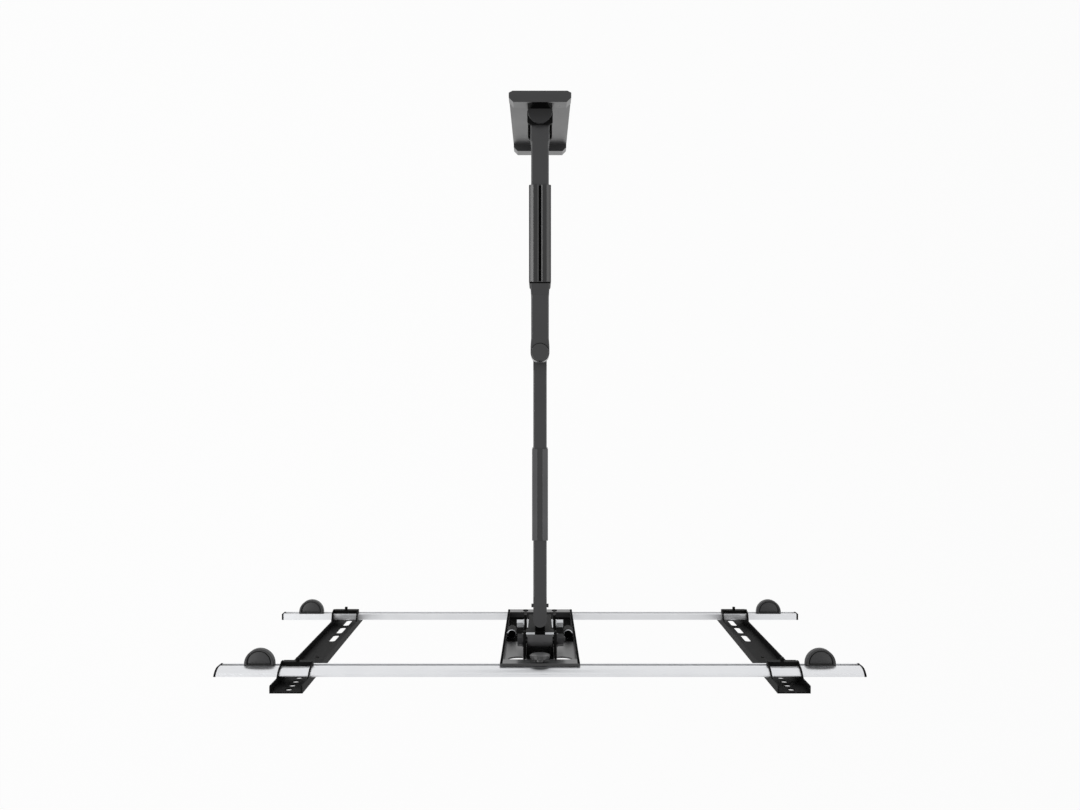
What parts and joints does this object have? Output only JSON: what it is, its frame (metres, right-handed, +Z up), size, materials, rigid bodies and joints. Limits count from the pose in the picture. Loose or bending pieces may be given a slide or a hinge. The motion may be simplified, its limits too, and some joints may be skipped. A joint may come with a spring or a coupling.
{
  "type": "tv mount",
  "caption": "Full-motion television wall mount: wall plate, folding double arm, swivel and tilt head, and aluminium rails that carry slotted upright brackets.",
  "frame": {"origin": "centre of the wall plate's back face, on the wall", "axes": "+X to the right along the rails, +Y into the wall (the mount reaches out along -Y), +Z up"},
  "size_m": [0.74, 0.6685, 0.4075],
  "materials": {
    "black_steel": "fine-textured black powder coat",
    "black_plastic": "moulded satin black",
    "bumper_rubber": "matt dark grey",
    "rail_aluminium": "clear anodised",
    "zinc_steel": "bright zinc plate",
    "black_bolt": "black oxide",
    "bush_nylon": "natural nylon"
  },
  "bodies": {
    "wall_bracket": {"wall_plate": "black_steel", "upper_wall_cap": "black_plastic", "lower_wall_cap": "black_plastic", "wall_yoke": "black_steel", "wall_pivot_pin": "black_bolt", "wall_pivot_nut": "black_bolt", "wall_pivot_washers": "bush_nylon"},
    "inner_arm": {"inner_wall_knuckle": "black_steel", "wall_pivot_bushes": "bush_nylon", "inner_arm_tube": "black_steel", "inner_elbow_knuckle": "black_steel", "inner_cable_cover": "black_plastic", "elbow_pivot_bolt": "black_bolt", "elbow_pivot_nut": "black_bolt"},
    "outer_arm": {"outer_elbow_knuckle": "black_steel", "elbow_bushes": "bush_nylon", "elbow_washer": "black_plastic", "outer_arm_tube": "black_steel", "outer_cable_cover": "black_plastic", "outer_arm_fork": "black_steel", "fork_cross_pin": "black_bolt", "swivel_bolt": "black_bolt"},
    "swivel_head": {"swivel_barrel": "black_steel", "swivel_bracket": "black_steel", "tilt_barrel": "black_steel", "guide_bolt": "zinc_steel", "guide_nuts": "zinc_steel", "guide_spacers": "zinc_steel"},
    "carrier": {"left_tilt_plate": "black_steel", "right_tilt_plate": "black_steel", "tilt_washers": "black_bolt", "tilt_bolt": "black_bolt", "tilt_nut": "black_bolt", "carrier_plate": "black_steel", "levelling_sleeves": "black_steel", "carrier_screws": "black_bolt", "carrier_slide_nuts": "zinc_steel", "knob_stud": "zinc_steel"},
    "lock_knob": {"knob_head": "black_plastic"},
    "rail_frame": {"top_rail": "rail_aluminium", "bottom_rail": "rail_aluminium", "left_end_caps": "black_plastic", "right_end_caps": "black_plastic", "wall_bumpers": "bumper_rubber"},
    "left_column": {"left_column": "black_steel", "left_clamp_bars": "black_steel", "left_clamp_screws": "black_bolt", "left_clamp_nuts": "zinc_steel"},
    "right_column": {"right_column": "black_steel", "right_clamp_bars": "black_steel", "right_clamp_screws": "black_bolt", "right_clamp_nuts": "zinc_steel"}
  },
  "joints": [
    {"name": "wall_swivel", "type": "hinge", "parent": "wall_bracket", "child": "inner_arm", "pos_m": [0, -0.024, 0.085], "axis": [0, 0, 1], "range_deg": [-90, 90]},
    {"name": "elbow", "type": "hinge", "parent": "inner_arm", "child": "outer_arm", "pos_m": [0, -0.292, 0.05], "axis": [0, 0, -1], "range_deg": [-165, 165]},
    {"name": "head_swivel", "type": "hinge", "parent": "outer_arm", "child": "swivel_head", "pos_m": [0, -0.608, 0.026], "axis": [0, 0, 1], "range_deg": [-75, 75]},
    {"name": "head_tilt", "type": "hinge", "parent": "swivel_head", "child": "carrier", "pos_m": [0, -0.633, 0.041], "axis": [1, 0, 0], "range_deg": [-5, 10]},
    {"name": "knob_turn", "type": "hinge", "parent": "carrier", "child": "lock_knob", "pos_m": [0, -0.64, 0.0885], "axis": [0, 1, 0], "range_deg": [0, 360]},
    {"name": "frame_shift", "type": "slide", "parent": "carrier", "child": "rail_frame", "axis": [1, 0, 0], "range_m": [-0.03, 0.03]},
    {"name": "left_column_slide", "type": "slide", "parent": "rail_frame", "child": "left_column", "axis": [1, 0, 0], "range_m": [-0.007, 0.173]},
    {"name": "right_column_slide", "type": "slide", "parent": "rail_frame", "child": "right_column", "axis": [-1, 0, 0], "range_m": [-0.007, 0.173]}
  ]
}
